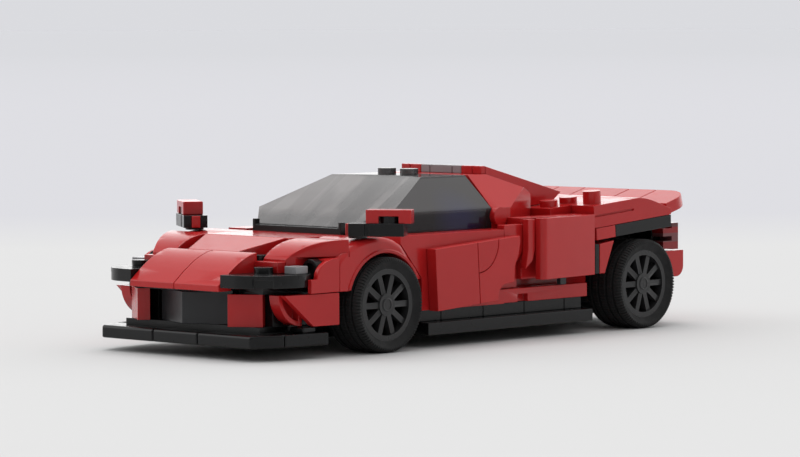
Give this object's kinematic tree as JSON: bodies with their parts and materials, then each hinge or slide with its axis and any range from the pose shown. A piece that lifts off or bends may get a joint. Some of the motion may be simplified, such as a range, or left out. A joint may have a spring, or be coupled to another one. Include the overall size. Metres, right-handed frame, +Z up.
{
  "type": "toy supercar",
  "caption": "Low mid-engined toy supercar built of construction bricks, with dark clear canopy, studded rear deck and spoked wheels that turn on their pins.",
  "frame": {"origin": "on the ground, in the middle of the car's length and width", "axes": "+X towards the car's left side, +Y towards its tail, +Z up"},
  "size_m": [0.0844, 0.167, 0.0445],
  "materials": {
    "red_plastic": "gloss",
    "black_plastic": "gloss",
    "rim_plastic": "satin",
    "tyre_rubber": "matte",
    "dark_clear_plastic": "gloss",
    "grey_plastic": "gloss",
    "dark_grey_plastic": "gloss",
    "lamp_plastic": "gloss"
  },
  "bodies": {
    "chassis": {"arch_leads": "red_plastic", "arch_posts": "black_plastic", "axle_blocks": "black_plastic", "bonnet_base": "red_plastic", "bonnet_tile": "red_plastic", "bonnet_wedge": "red_plastic", "cabin_tub": "black_plastic", "canopy": "dark_clear_plastic", "cowl": "black_plastic", "deck": "red_plastic", "diffuser": "black_plastic", "doors": "red_plastic", "ducktail": "red_plastic", "engine_bulkhead": "red_plastic", "engine_cover": "red_plastic", "fender_wedges": "red_plastic", "floor_plate": "black_plastic", "front_arches": "red_plastic", "front_bumper": "red_plastic", "grille": "dark_grey_plastic", "intake_fins": "red_plastic", "lamp_barrels": "black_plastic", "lamp_corners": "red_plastic", "lamp_lenses": "grey_plastic", "lamp_plates": "black_plastic", "lamp_steps": "red_plastic", "low_pegs": "dark_grey_plastic", "low_strips": "red_plastic", "mirror_arms": "black_plastic", "mirror_caps": "red_plastic", "nose_core": "black_plastic", "nose_slopes": "red_plastic", "quarter_panels": "red_plastic", "rear_arches": "black_plastic", "rear_bumper": "red_plastic", "rear_core": "black_plastic", "rear_fenders": "red_plastic", "roof_rear": "red_plastic", "scoop_ends": "red_plastic", "scoop_mesh": "grey_plastic", "seats": "black_plastic", "side_pods": "red_plastic", "side_skirts": "black_plastic", "side_walls": "red_plastic", "sills": "black_plastic", "splitter": "black_plastic", "steering_wheel": "black_plastic", "tail_lamps": "lamp_plastic", "vent_studs": "black_plastic"},
    "front_left_wheel": {"tyre_front_left": "tyre_rubber", "rim_front_left": "rim_plastic"},
    "front_right_wheel": {"tyre_front_right": "tyre_rubber", "rim_front_right": "rim_plastic"},
    "rear_left_wheel": {"tyre_rear_left": "tyre_rubber", "rim_rear_left": "rim_plastic"},
    "rear_right_wheel": {"tyre_rear_right": "tyre_rubber", "rim_rear_right": "rim_plastic"}
  },
  "joints": [
    {"name": "front_left_spin", "type": "hinge", "parent": "chassis", "child": "front_left_wheel", "pos_m": [0.027, -0.0415, 0.012], "axis": [1, 0, 0], "continuous": true},
    {"name": "front_right_spin", "type": "hinge", "parent": "chassis", "child": "front_right_wheel", "pos_m": [-0.027, -0.0415, 0.012], "axis": [1, 0, 0], "continuous": true},
    {"name": "rear_left_spin", "type": "hinge", "parent": "chassis", "child": "rear_left_wheel", "pos_m": [0.027, 0.0585, 0.012], "axis": [1, 0, 0], "continuous": true},
    {"name": "rear_right_spin", "type": "hinge", "parent": "chassis", "child": "rear_right_wheel", "pos_m": [-0.027, 0.0585, 0.012], "axis": [1, 0, 0], "continuous": true}
  ]
}
